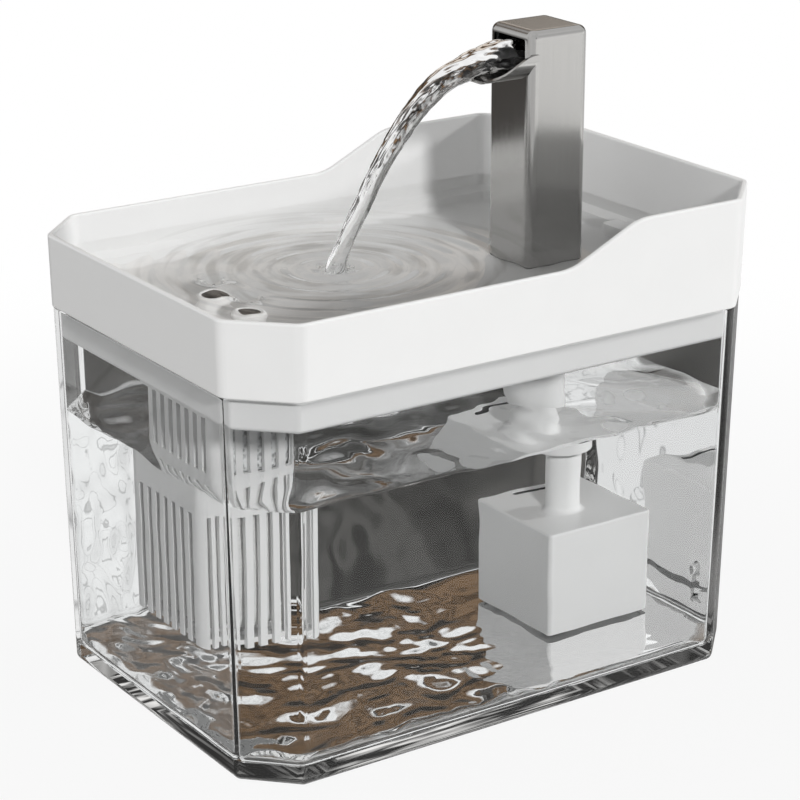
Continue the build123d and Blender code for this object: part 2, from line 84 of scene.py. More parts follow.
def meshObject(name, points, faces, smoothAngle=35.0):
    # edges sharper than smoothAngle (degrees) stay hard, and 0 leaves none
    mesh = bpy.data.meshes.new(name)
    mesh.from_pydata([tuple(p) for p in points], [], faces)
    mesh.validate()
    mesh.shade_smooth()
    if smoothAngle:
        mesh.set_sharp_from_angle(angle=math.radians(smoothAngle))
    thing = bpy.data.objects.new(name, mesh)
    bpy.context.scene.collection.objects.link(thing)
    return thing


def setMaterial(thing, material):
    thing.data.materials.clear()
    thing.data.materials.append(material)


def ringSkin(rings):
    # quads between rings of equal length, with the first and last ring closed to a point
    count = len(rings[0])
    points = [p for ring in rings for p in ring]
    faces = []
    for row in range(len(rings) - 1):
        low, high = row * count, (row + 1) * count
        for i in range(count):
            j = (i + 1) % count
            faces.append((low + i, low + j, high + j, high + i))
    first = len(points)
    points.append(sum((Vector(p) for p in rings[0]), Vector()) / count)
    points.append(sum((Vector(p) for p in rings[-1]), Vector()) / count)
    last = (len(rings) - 1) * count
    for i in range(count):
        j = (i + 1) % count
        faces.append((j, i, first))
        faces.append((last + i, last + j, first + 1))
    return points, faces


def plug(tree, socket, value):
    # an output is linked to the socket, and a plain value is set on it
    if isinstance(value, bpy.types.NodeSocket):
        tree.links.new(value, socket)
    else:
        socket.default_value = value


def addNode(tree, kind, settings=None, **inputs):
    # an input goes by its name, or by its number as _0, _1 and so on
    node = tree.nodes.new(kind)
    for name, value in (settings or {}).items():
        setattr(node, name, value)
    for name, value in inputs.items():
        number = name[1:]
        plug(tree, node.inputs[int(number) if number.isdigit() else name.replace("_", " ")], value)
    return node


def calc(tree, operation, *values, clamp=False):
    node = tree.nodes.new("ShaderNodeMath")
    node.operation = operation
    node.use_clamp = clamp
    for socket, value in zip(node.inputs, values):
        plug(tree, socket, value)
    return node.outputs[0]


def vectorNode(tree, operation, *values, **named):
    node = addNode(tree, "ShaderNodeVectorMath", {"operation": operation}, **named)
    for socket, value in zip(node.inputs, values):
        plug(tree, socket, value)
    return node


def vectorCalc(tree, operation, *values, **named):
    return vectorNode(tree, operation, *values, **named).outputs["Vector"]


def measure(tree, operation, *values):
    # a length or a dot product
    return vectorNode(tree, operation, *values).outputs["Value"]


def mixColour(tree, share, low, high):
    return addNode(tree, "ShaderNodeMix", {"data_type": "RGBA"}, _0=share, _6=low, _7=high).outputs[2]


def spread(tree, value, low, high, atLow=0.0, atHigh=1.0):
    # value from low to high becomes atLow to atHigh
    return addNode(tree, "ShaderNodeMapRange", _0=value, _1=low, _2=high, _3=atLow, _4=atHigh).outputs[0]


def objectPlace(tree):
    return addNode(tree, "ShaderNodeTexCoord").outputs["Object"]


def newGroup(name, inputs, outputs):
    group = bpy.data.node_groups.new(name, "ShaderNodeTree")
    for label, kind, value in inputs:
        socket = group.interface.new_socket(label, in_out="INPUT", socket_type=kind)
        socket.default_value = value
    for label, kind in outputs:
        group.interface.new_socket(label, in_out="OUTPUT", socket_type=kind)
    return group, group.nodes.new("NodeGroupInput"), group.nodes.new("NodeGroupOutput")


def newMaterial(name, **sockets):
    material = bpy.data.materials.new(name)
    material.use_nodes = True
    tree = material.node_tree
    shader = tree.nodes["Principled BSDF"]
    for label, value in sockets.items():
        shader.inputs[label.replace("_", " ")].default_value = value
    return material, tree, shader


def colour(r, g, b):
    return (r, g, b, 1.0)


def noiseAt(tree, place, scale, detail, **inputs):
    cloud = addNode(tree, "ShaderNodeTexNoise", Vector=place, Scale=scale, Detail=detail, **inputs)
    return cloud.outputs[0]


def cloudAndGrain(group, given):
    # moulded plastic and rubber: a faint cloud, and a fine moulded grain
    place = objectPlace(group)
    cloud = noiseAt(group, place, given.outputs["Cloud Scale"], 3.0)
    grain = noiseAt(group, place, given.outputs["Grain Scale"], 2.0)
    return cloud, grain


def drawnLines(group, given):
    # brushed or ground metal: lines drawn out along Z
    stretch = addNode(group, "ShaderNodeCombineXYZ", X=1.0, Y=1.0, Z=given.outputs["Stretch"])
    drawn = vectorCalc(group, "MULTIPLY", objectPlace(group), stretch.outputs[0])
    lines = noiseAt(group, drawn, given.outputs["Line Scale"], 2.0)
    return lines, lines


def makeSurfaceGroup(name, tone, shade, sizes, roughness, reach, draw):
    # a pattern that shades the colour and the gloss, and the height of a fine relief
    group, given, out = newGroup(
        name,
        [("Color", "NodeSocketColor", tone), ("Shade", "NodeSocketFloat", shade)]
        + [(label, "NodeSocketFloat", size) for label, size in sizes]
        + [("Roughness", "NodeSocketFloat", roughness), ("Spread", "NodeSocketFloat", reach)],
        [("Color", "NodeSocketColor"), ("Roughness", "NodeSocketFloat"), ("Height", "NodeSocketFloat")],
    )
    pattern, relief = draw(group, given)
    bright = calc(group, "SUBTRACT", 1.0, calc(group, "MULTIPLY", pattern, given.outputs["Shade"]))
    tint = vectorCalc(group, "SCALE", given.outputs["Color"], Scale=bright)
    low = calc(group, "SUBTRACT", given.outputs["Roughness"], given.outputs["Spread"])
    high = calc(group, "ADD", given.outputs["Roughness"], given.outputs["Spread"])
    gloss = spread(group, pattern, 0.0, 1.0, low, high)
    for label, value in (("Color", tint), ("Roughness", gloss), ("Height", relief)):
        group.links.new(value, out.inputs[label])
    return group


mouldedSizes = (("Cloud Scale", 60.0), ("Grain Scale", 2600.0))
brushedSizes = (("Line Scale", 1800.0), ("Stretch", 0.02))
mouldedGroup = makeSurfaceGroup("mouldedSurface", colour(0.8, 0.8, 0.8), 0.04, mouldedSizes, 0.35, 0.08,
                                cloudAndGrain)
brushedGroup = makeSurfaceGroup("brushedLines", colour(0.6, 0.6, 0.6), 0.08, brushedSizes, 0.28, 0.06,
                                drawnLines)
relief = {"depth": 0.0001, "plastic": 0.06, "metal": 0.05}


def dressed(name, group, bump, tone, roughness, shade, **sockets):
    material, tree, shader = newMaterial(name, **sockets)
    effect = addNode(tree, "ShaderNodeGroup", {"node_tree": group}, Color=tone, Roughness=roughness,
                     Shade=shade)
    height = addNode(tree, "ShaderNodeBump", Strength=bump, Distance=relief["depth"],
                     Height=effect.outputs["Height"])
    tree.links.new(effect.outputs["Color"], shader.inputs["Base Color"])
    tree.links.new(effect.outputs["Roughness"], shader.inputs["Roughness"])
    tree.links.new(height.outputs[0], shader.inputs["Normal"])
    return material


def plastic(name, tone, roughness, shade=0.04, **sockets):
    return dressed(name, mouldedGroup, relief["plastic"], tone, roughness, shade, **sockets)


def metal(name, tone, roughness, shade=0.08):
    return dressed(name, brushedGroup, relief["metal"], tone, roughness, shade, Metallic=1.0)


def clear(name, tone, ior, **sockets):
    return newMaterial(name, Base_Color=tone, IOR=ior, Roughness=0.0, Transmission_Weight=1.0, **sockets)


foamLook = {
    "bendScale": 0.4,    # as a share of the cells' scale
    "bend": 0.0012,
    "pitFrom": 0.15,
    "pitTo": 0.6,
    "paintedPitShade": 0.45,
    "bump": 0.7,
    "depth": 0.0008,
}


def foamRubber(name, tone, cells, look):
    # open cells: round pits between pale struts, with painted shade darkening the pits
    material, tree, shader = newMaterial(name, Roughness=0.9)
    place = objectPlace(tree)
    bent = addNode(tree, "ShaderNodeTexNoise", Vector=place, Scale=cells * look["bendScale"], Detail=1.0)
    spot = vectorCalc(tree, "MULTIPLY_ADD", bent.outputs[1], (look["bend"],) * 3, place)
    cell = addNode(tree, "ShaderNodeTexVoronoi", Vector=spot, Scale=cells)
    pit = spread(tree, cell.outputs["Distance"], look["pitFrom"], look["pitTo"])
    tint = mixColour(tree, pit, colour(*(c * look["paintedPitShade"] for c in tone[:3])), tone)
    height = addNode(tree, "ShaderNodeBump", Strength=look["bump"], Distance=look["depth"], Height=pit)
    tree.links.new(tint, shader.inputs["Base Color"])
    tree.links.new(height.outputs[0], shader.inputs["Normal"])
    return material


feltLook = {
    "turns": (0.5, 2.1),    # radians
    "draw": 0.08,
    "scale": 2400.0,
    "from": 0.4,
    "to": 0.75,
    "least": 0.82,
    "bump": 0.5,
    "depth": 0.0002,
}


def felt(name, tone, look):
    # non-woven cloth: fibres drawn out in two crossing directions
    material, tree, shader = newMaterial(name, Roughness=0.95, Sheen_Weight=0.25)
    place = objectPlace(tree)
    layers = []
    for turn in look["turns"]:
        turned = addNode(tree, "ShaderNodeVectorRotate", {"rotation_type": "EULER_XYZ"}, Vector=place,
                         Rotation=(turn, turn * 0.7, turn * 1.3))
        drawn = vectorCalc(tree, "MULTIPLY", turned.outputs[0], (1.0, look["draw"], 1.0))
        layers.append(noiseAt(tree, drawn, look["scale"], 1.0))
    fibres = calc(tree, "MAXIMUM", *layers)
    pale = spread(tree, fibres, look["from"], look["to"], look["least"])
    tint = vectorCalc(tree, "SCALE", tone[:3], Scale=pale)
    height = addNode(tree, "ShaderNodeBump", Strength=look["bump"], Distance=look["depth"], Height=fibres)
    tree.links.new(tint, shader.inputs["Base Color"])
    tree.links.new(height.outputs[0], shader.inputs["Normal"])
    return material


# clear walls and water mirror a little less than they should, so that what lies behind stays calm
dimGloss = colour(0.25, 0.25, 0.25)

# painted glow for light trapped in the tank's thick floor: streak pattern, tones and tint of the emission
paintedTrapGlow = {
    "mirrorings": 2.5,
    "half": (0.0714, 0.1, 0.0),
    "across": 330.0,
    "along": 28.0,
    "bend": 0.3,
    "from": 0.46,
    "to": 0.66,
    "blend": 0.01,
    "least": 0.03,
    "endTone": 0.2,
    "sideTone": 0.85,
    "tint": colour(1.0, 0.99, 0.97),
}


def paintTrapGlow(tree, shader, trap):
    # painted glow: where a ray has mirrored more than twice inside the plastic, the surface gives off grey
    # emission streaks along the walls, standing in for light trapped in the thick floor
    rays = addNode(tree, "ShaderNodeLightPath")
    deep = calc(tree, "GREATER_THAN", rays.outputs["Glossy Depth"], trap["mirrorings"])
    place = objectPlace(tree)
    inside = vectorCalc(tree, "SUBTRACT", vectorCalc(tree, "ABSOLUTE", place), trap["half"])
    away = addNode(tree, "ShaderNodeSeparateXYZ", _0=inside)
    spot = addNode(tree, "ShaderNodeSeparateXYZ", _0=place)
    near = calc(tree, "MAXIMUM", away.outputs[0], away.outputs[1])
    along = calc(tree, "ADD", spot.outputs[0], spot.outputs[1])
    flat = addNode(tree, "ShaderNodeCombineXYZ", X=near, Y=along)
    drawn = vectorCalc(tree, "MULTIPLY", flat.outputs[0], (trap["across"], trap["along"], 1.0))
    streak = noiseAt(tree, drawn, 1.0, 2.0, Distortion=trap["bend"])
    side = calc(tree, "SUBTRACT", away.outputs[0], away.outputs[1])
    most = spread(tree, side, -trap["blend"], trap["blend"], trap["endTone"], trap["sideTone"])
    level = spread(tree, streak, trap["from"], trap["to"], trap["least"], most)
    # painted glow: an emission in place of the trapped light
    grey = addNode(tree, "ShaderNodeEmission", Color=trap["tint"], Strength=level)
    mix = addNode(tree, "ShaderNodeMixShader", _0=deep, _1=shader.outputs[0], _2=grey.outputs[0])
    tree.links.new(mix.outputs[0], tree.nodes["Material Output"].inputs["Surface"])


def tankPlastic():
    material, tree, shader = clear("clearPlastic", colour(0.985, 0.99, 0.99), 1.25, Specular_Tint=dimGloss)
    paintTrapGlow(tree, shader, paintedTrapGlow)
    return material


whitePlastic = {"tone": colour(0.86, 0.86, 0.855), "roughness": 0.38, "shade": 0.03}

finishes = {
    "clear_plastic": tankPlastic(),
    "white_plastic": plastic("whitePlastic", **whitePlastic),
    "brushed_metal": metal("brushedMetal", colour(0.45, 0.445, 0.435), 0.17),
    "black_plastic": plastic("blackPlastic", colour(0.012, 0.012, 0.012), 0.3, 0.3),
    "grey_plastic": plastic("greyPlastic", colour(0.22, 0.23, 0.24), 0.45),
    "rubber": plastic("blackRubber", colour(0.03, 0.03, 0.03), 0.65, 0.2),
    "clear_rubber": plastic("paleRubber", colour(0.7, 0.71, 0.71), 0.4),
    "foam": foamRubber("openFoam", colour(0.82, 0.83, 0.83), 620.0, foamLook),
    "nonwoven": felt("whiteFelt", colour(0.86, 0.86, 0.85), feltLook),
    "core_steel": metal("coreSteel", colour(0.45, 0.45, 0.46), 0.4),
    "copper": metal("copperWire", colour(0.7, 0.33, 0.16), 0.35),
    "board": plastic("solderMask", colour(0.03, 0.2, 0.09), 0.3, 0.15),
    "resin": plastic("castResin", colour(0.04, 0.04, 0.05), 0.3, 0.2),
    "ceramic": plastic("groundCeramic", colour(0.86, 0.84, 0.8), 0.25),
    "magnet": plastic("sinteredMagnet", colour(0.1, 0.1, 0.105), 0.5, 0.3, Metallic=0.5),
}
slotOf = {part["node"]: part["material_slot"] for part in frame["record"]["subparts"]}
for node, thing in frame["nodes"].items():
    setMaterial(thing, finishes[slotOf[node]])

# painted shade in the bores of the overflow pipes: axis, radius and the dark tone
paintedBoreShade = {"offset": 0.0108, "y": -0.0642, "radius": 0.0037, "tone": colour(0.06, 0.06, 0.058)}
paintedBoxShade = {
    # painted shade: middle and half size of the pump box's inside and of the slot in its top, which are
    # painted dark
    "places": (
        ((-0.00375, 0.0583, 0.024), (0.026, 0.0197, 0.0197)),
        ((-0.0263, 0.0573, 0.0395), (0.0018, 0.0088, 0.0057)),
    ),
    "tone": colour(0.035, 0.035, 0.034),
}


def boreMasks(tree, place, bores):
    # 1 inside the two overflow pipes, which mirror each other, where the bores get painted shade
    axis = (bores["offset"], -bores["y"], 0.0)
    away = vectorCalc(tree, "SUBTRACT", vectorCalc(tree, "ABSOLUTE", place), axis)
    reach = measure(tree, "LENGTH", vectorCalc(tree, "MULTIPLY", away, (1, 1, 0)))
    return [calc(tree, "LESS_THAN", reach, bores["radius"])]


def boxMasks(tree, place, hollows):
    # 1 inside each box that gets painted shade
    masks = []
    for middle, half in hollows["places"]:
        away = vectorCalc(tree, "ABSOLUTE", vectorCalc(tree, "SUBTRACT", place, middle))
        parts = addNode(tree, "ShaderNodeSeparateXYZ", _0=vectorCalc(tree, "DIVIDE", away, half))
        most = calc(tree, "MAXIMUM", parts.outputs[0], parts.outputs[1])
        masks.append(calc(tree, "LESS_THAN", calc(tree, "MAXIMUM", most, parts.outputs[2]), 1.0))
    return masks


def paintShadeInHollows(name, findMasks, hollows):
    # white plastic with painted shade in its hollows
    material = plastic(name, **whitePlastic)
    tree = material.node_tree
    base = tree.nodes["Principled BSDF"].inputs["Base Color"]
    tint = base.links[0].from_socket
    for mask in findMasks(tree, objectPlace(tree), hollows):
        tint = mixColour(tree, mask, tint, hollows["tone"])
    tree.links.new(tint, base)
    return material


setMaterial(frame["nodes"]["overflow_pipes"], paintShadeInHollows("pipePlasticWithPaintedBoreShade", boreMasks, paintedBoreShade))
setMaterial(frame["nodes"]["pump_box"], paintShadeInHollows("pumpBoxPlastic", boxMasks, paintedBoxShade))
frame["nodes"]["tank"].visible_shadow = False
say("finishes on the constructed pieces")


# rounded octagon shared by tank, tray and water, in millimetres
tankForm = {
    "splitHeight": 127.0,
    "halfWidth": 71.4,
    "halfLength": 100.0,
    "cornerLeg": 17.0,
    "cornerRadius": 5.0,
    "leastRadius": 2.0,
    "draft": 0.02,
}


def planRing(form, z, inset, spacing):
    # points of the octagon at height z, equal in number at every height
    grow = form["draft"] * (z - form["splitHeight"]) - inset
    wide, long = form["halfWidth"] + grow, form["halfLength"] + grow
    leg = form["cornerLeg"] + (2 - math.sqrt(2)) * grow
    radius = max(form["cornerRadius"] + grow, form["leastRadius"])
    corners = [
        (wide, -long + leg), (wide, long - leg), (wide - leg, long), (-wide + leg, long),
        (-wide, long - leg), (-wide, -long + leg), (-wide + leg, -long), (wide - leg, -long),
    ]
    trim = radius * math.tan(math.radians(22.5))    # an octagon turns by 45 degrees at each corner
    slant = form["cornerLeg"] * 1.4
    sides = [2 * form["halfLength"], slant, 2 * form["halfWidth"], slant]
    ring = []
    for k in range(8):
        here, ahead = Vector(corners[k]), Vector(corners[(k + 1) % 8])
        along = (ahead - here).normalized()
        start, end = here + along * trim, ahead - along * trim
        steps = max(2, round(sides[k % 4] / spacing))
        ring += [start.lerp(end, i / steps) for i in range(steps + 1)]
        inward = Vector((-along.y, along.x))
        centre = end + inward * radius
        for turn in (15.0, 30.0):
            angle = math.radians(turn)
            ring.append(centre + radius * (-inward * math.cos(angle) + along * math.sin(angle)))
    return ring


def wave(x, y, scale, seed):
    return noise.noise(Vector((x / scale, y / scale, seed)))


def clamped(value):
    return min(1.0, max(0.0, value))


def surfaceRings(form, ring, shares, height):
    # rings that close in from the given one until poleGap, each point at its height
    rings = []
    for share in shares:
        row = []
        for p in ring:
            q = p * (1 - share * form["poleGap"])
            row.append((q.x, q.y, height(form, q.x, q.y, (p - q).length)))
        rings.append(row)
    return rings


def makeWater(name, body, rings, form, material):
    points, faces = ringSkin(rings)
    water = meshObject(name, [Vector(p) * mm for p in points], faces, form["smoothAngle"])
    setMaterial(water, material)
    water.visible_shadow = False
    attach(water, body)


# lengths in millimetres, seeds pick the noise
tankWaterForm = {
    "wallInset": 3.3,
    "level": 90.0,
    "bottom": 7.3,
    "footDrop": 1.7,
    "footReach": 2.2,
    "footMost": 2.0,
    "spacing": 2.2,
    "rows": 40,
    "rings": 40,
    "poleGap": 0.995,
    "smoothAngle": 50.0,
    "swell": 2.6,
    "swellScale": 26.0,
    "swellSeed": 3.1,
    "chop": 0.7,
    "chopScale": 9.0,
    "chopSeed": 8.4,
    "ripple": 1.9,
    "rippleScale": 15.0,
    "rippleSeed": 21.7,
    "fineRipple": 0.34,
    "fineScale": 0.4,    # as a share of rippleScale
    "fineSeed": 27.3,
    "calmFrom": 8.0,
    "calmReach": 30.0,
    "calmShare": 0.82,
    "wallRipple": 0.16,
    "farRipple": 1.0,
    "farX": (50.0, 20.0),    # from, over
    "farY": (40.0, 60.0),
    "wallRippleScale": 11.0,
    "meniscus": 1.6,
    "meniscusReach": 1.6,
}


def tankWaterTop(form, x, y, fromWall):
    swell = form["swell"] * wave(x, y, form["swellScale"], form["swellSeed"])
    chop = form["chop"] * wave(x, y, form["chopScale"], form["chopSeed"])
    return form["level"] + (swell + chop) + form["meniscus"] * math.exp(-fromWall / form["meniscusReach"])


def tankWaterBottom(form, x, y, fromWall):
    first = wave(x, y, form["rippleScale"], form["rippleSeed"])
    second = form["fineRipple"] * wave(x, y, form["rippleScale"] * form["fineScale"], form["fineSeed"])
    calm = clamped((y - form["calmFrom"]) / form["calmReach"])
    foot = form["footDrop"] * math.exp(-fromWall / form["footReach"])
    rough = form["ripple"] * (1.0 - form["calmShare"] * calm) * (first + second)
    return form["bottom"] - foot + rough * (1 - foot / form["footMost"])


def tankWaterSide(form, plan, share):
    # one ring of the side, from the bottom at share 0 to the surface at share 1
    flat = form["bottom"] + share * (form["level"] - form["bottom"])
    ring = []
    for p in planRing(plan, flat, form["wallInset"], form["spacing"]):
        low = tankWaterBottom(form, p.x, p.y, 0.0)
        z = low + share * (tankWaterTop(form, p.x, p.y, 0.0) - low)
        farX = max(0.0, -p.x - form["farX"][0]) / form["farX"][1]
        farY = clamped((form["farY"][0] - p.y) / form["farY"][1])
        size = form["wallRipple"] + form["farRipple"] * (farX * farY)
        push = size * noise.noise(Vector((p.x, p.y, z)) / form["wallRippleScale"])
        out = p + p.normalized() * push
        ring.append((out.x, out.y, z))
    return ring


def makeTankWater(form, plan, material):
    steps = [1 - (1 - i / form["rings"]) ** 2 for i in range(1, form["rings"] + 1)]
    low = planRing(plan, form["bottom"], form["wallInset"], form["spacing"])
    high = planRing(plan, form["level"], form["wallInset"], form["spacing"])
    rings = surfaceRings(form, low, reversed(steps), tankWaterBottom)
    rings += [tankWaterSide(form, plan, row / form["rows"]) for row in range(form["rows"] + 1)]
    rings += surfaceRings(form, high, steps, tankWaterTop)
    makeWater("tankWater", "tank", rings, form, material)


waterInTank = clear("waterInTank", colour(0.99, 0.995, 0.995), 1.2, Specular_Tint=dimGloss)[0]
makeTankWater(tankWaterForm, tankForm, waterInTank)
say("water in the tank")


trayWaterForm = {
    "level": 141.0,
    "wallInset": 1.3,
    "ledge": 127.4,
    "ledgeTop": 131.4,
    "floorInset": 5.2,
    "floor": 117.9,
    "spacing": 2.0,
    "rings": 70,
    "crowding": 1.5,    # above 1 the rings stand closer at the wall
    "poleGap": 0.998,
    "smoothAngle": 50.0,
    "floorShares": (0.995, 0.5),
    "landing": (0.0, -25.0),
    "splashHeight": 1.5,
    "splashSize": 9.0,
    "splashNoise": 1.2,
    "splashScale": 2.2,
    "splashSeed": 6.6,
    "rippleHeight": 0.55,
    "rippleLength": 9.5,
    "rippleReach": 38.0,
    "rippleFrom": 6.0,
    "chop": 0.35,
    "chopScale": 24.0,
    "chopSeed": 4.2,
    "drains": ((-10.8, -64.2), (10.8, -64.2)),
    "drainDip": 1.6,
    "drainReach": 5.0,
    "meniscus": 0.9,
    "meniscusReach": 1.0,
}


def trayWaterTop(form, x, y, fromWall):
    reach = math.hypot(x - form["landing"][0], y - form["landing"][1])
    fade = math.exp(-reach / form["rippleReach"]) * min(1.0, reach / form["rippleFrom"])
    z = form["rippleHeight"] * fade * math.cos(2 * math.pi * reach / form["rippleLength"])
    rough = 1 + form["splashNoise"] * wave(x, y, form["splashScale"], form["splashSeed"])
    z += form["splashHeight"] * math.exp(-reach * reach / form["splashSize"]) * rough
    z += form["chop"] * wave(x, y, form["chopScale"], form["chopSeed"])
    for drain in form["drains"]:
        near = math.hypot(x - drain[0], y - drain[1]) / form["drainReach"]
        z -= form["drainDip"] * math.exp(-near * near)
    return form["level"] + z + form["meniscus"] * math.exp(-fromWall / form["meniscusReach"])


def makeTrayWater(form, plan, material):
    floor = planRing(plan, form["floor"], form["floorInset"], form["spacing"])
    rings = [[(p.x * (1 - share), p.y * (1 - share), form["floor"]) for p in floor]
             for share in form["floorShares"] + (0.0,)]
    for z, inset in ((form["ledge"], form["floorInset"]), (form["ledgeTop"], form["wallInset"])):
        rings.append([(p.x, p.y, z) for p in planRing(plan, z, inset, form["spacing"])])
    top = planRing(plan, form["level"], form["wallInset"], form["spacing"])
    steps = [(i / form["rings"]) ** form["crowding"] for i in range(form["rings"] + 1)]
    rings += surfaceRings(form, top, steps, trayWaterTop)
    makeWater("trayWater", "tray", rings, form, material)


paintedRippleShade = {
    "calm": colour(0.97, 0.97, 0.965),
    "tone": colour(0.55, 0.535, 0.51),
    "from": 0.012,
    "fromSoft": 0.008,
    "to": 0.08,
    "toSoft": 0.03,
    "rings": 170.0,
    "band": (0.5, 0.62),
    "strength": 0.85,
}


def makeTrayWaterClear(shade, landing):
    # painted shade: the water's colour is dimmed in broken rings round the splash, standing in for the
    # shade under the waves
    material, tree, shader = clear("waterInTray", shade["calm"], 1.2)
    away = vectorCalc(tree, "SUBTRACT", objectPlace(tree), (landing[0] * mm, landing[1] * mm, 0.0))
    flat = vectorCalc(tree, "MULTIPLY", away, (1, 1, 0))
    reach = measure(tree, "LENGTH", flat)
    rise = addNode(tree, "ShaderNodeCombineXYZ", Z=calc(tree, "MULTIPLY", reach, shade["rings"]))
    spot = vectorCalc(tree, "ADD", vectorCalc(tree, "NORMALIZE", flat), rise.outputs[0])
    cloud = noiseAt(tree, spot, 1.0, 2.0, Roughness=0.55)
    band = spread(tree, cloud, *shade["band"], 0.0, shade["strength"])
    begin = spread(tree, reach, shade["from"], shade["from"] + shade["fromSoft"])
    end = spread(tree, reach, shade["to"], shade["to"] - shade["toSoft"])
    # mask of the painted shade rings
    mask = calc(tree, "MULTIPLY", calc(tree, "MULTIPLY", band, begin), end)
    tree.links.new(mixColour(tree, mask, shade["calm"], shade["tone"]), shader.inputs["Base Color"])
    return material


makeTrayWater(trayWaterForm, tankForm, makeTrayWaterClear(paintedRippleShade, trayWaterForm["landing"]))
say("water in the tray")


streamForm = {
    "stations": (
        # y, z, half width along X, half depth
        (49.5, 202.4, 6.8, 5.4),
        (44.5, 202.5, 6.9, 5.6),
        (39.5, 202.4, 7.2, 5.5),
        (33.0, 201.7, 7.0, 4.5),
        (27.5, 200.7, 6.4, 3.9),
        (15.6, 196.5, 5.0, 3.5),
        (5.8, 188.9, 4.1, 3.3),
        (-1.9, 180.1, 3.6, 3.0),
        (-9.3, 169.6, 3.2, 2.8),
        (-16.5, 157.5, 3.0, 2.7),
        (-21.8, 148.4, 2.9, 2.6),
        (-25.2, 140.9, 3.2, 3.0),
        (-26.4, 138.0, 2.8, 2.6),
    ),
    "between": 18,
    "around": 72,
    "ridge": 0.13,
    "ridgeNoise": (2.1, 9.0),    # size round the stream, length along it
    "fineRidge": 0.35,
    "fineNoise": (4.0, 2.6),
    "twist": 2.2,
    "twistLength": 60.0,
    # strands of raised flecks with painted dark and brown reflection: middle angle, half width (radians),
    # from and to (mm along the fall)
    "strands": ((-0.45, 0.75, 22.0, 74.0), (1.15, 0.5, 24.0, 44.0)),
    "fleckHeight": 0.16,
    "taper": 0.6,
    "fadeIn": 6.0,
    "fadeOut": 4.0,
    "leastRoom": 0.01,
    # noise of the rungs: scale round the stream, length along it, seed, share
    "rungs": ((2.6, 1.5, 0.0, 1.0), (6.0, 0.8, 5.0, 0.5)),
    "rungLift": 0.05,
    "rungEdge": 5.0,
    "strandEdge": 3.0,
    "clearTone": colour(0.995, 0.995, 0.995),
    "paintedDarkReflection": colour(0.001, 0.0008, 0.0006),
    "paintedBrownReflection": colour(0.1, 0.04, 0.012),
    "brownScale": 420.0,
    "brownFrom": 0.42,
    "brownTo": 0.58,
}


def paintedReflectionFleckAt(form, angle, length):
    # how far a spot of the stream lies inside a raised fleck with painted reflection, from 0 to 1
    best = 0.0
    for middle, half, start, end in form["strands"]:
        away = (angle - middle + math.pi) % (2 * math.pi) - math.pi
        share = (length - start) / (end - start)
        if not 0.0 < share < 1.0:
            continue
        fade = min(1.0, share * form["fadeIn"], (1.0 - share) * form["fadeOut"])
        room = half * (1.0 - form["taper"] * share) * fade
        inside = clamped((1.0 - abs(away) / max(room, form["leastRoom"])) * form["strandEdge"])
        rung = sum(part * noise.noise(Vector((away * wide, length / long, middle + seed)))
                   for wide, long, seed, part in form["rungs"])
        best = max(best, clamped((rung + form["rungLift"]) * form["rungEdge"]) * inside)
    return best


def smoothStations(stations, between):
    # Catmull-Rom curve through the stations
    rows = [Vector(s) for s in stations]
    rows = [rows[0] * 2 - rows[1]] + rows + [rows[-1] * 2 - rows[-2]]
    line = []
    for k in range(1, len(rows) - 2):
        a, b, c, d = rows[k - 1:k + 3]
        for i in range(between):
            t = i / between
            line.append(0.5 * (2 * b + (c - a) * t + (2 * a - 5 * b + 4 * c - d) * t * t
                               + (3 * b - a - 3 * c + d) * t ** 3))
    return line + [rows[-2]]


def makeStreamWater(form):
    material, tree, shader = clear("waterInStream", form["clearTone"], 1.33)
    # painted reflection: the flecks are coloured dark and brown, standing in for the dark room seen in the
    # stream
    paintedReflectionFleck = addNode(tree, "ShaderNodeAttribute", {"attribute_name": "paintedReflectionFleck"}).outputs["Fac"]
    patch = noiseAt(tree, objectPlace(tree), form["brownScale"], 1.0)
    brown = spread(tree, patch, form["brownFrom"], form["brownTo"])
    tone = mixColour(tree, brown, form["paintedDarkReflection"], form["paintedBrownReflection"])
    tree.links.new(mixColour(tree, paintedReflectionFleck, form["clearTone"], tone), shader.inputs["Base Color"])
    return material


def ridgeAt(turned, length, size):
    return noise.noise(Vector((size[0] * math.cos(turned), size[0] * math.sin(turned), length / size[1])))


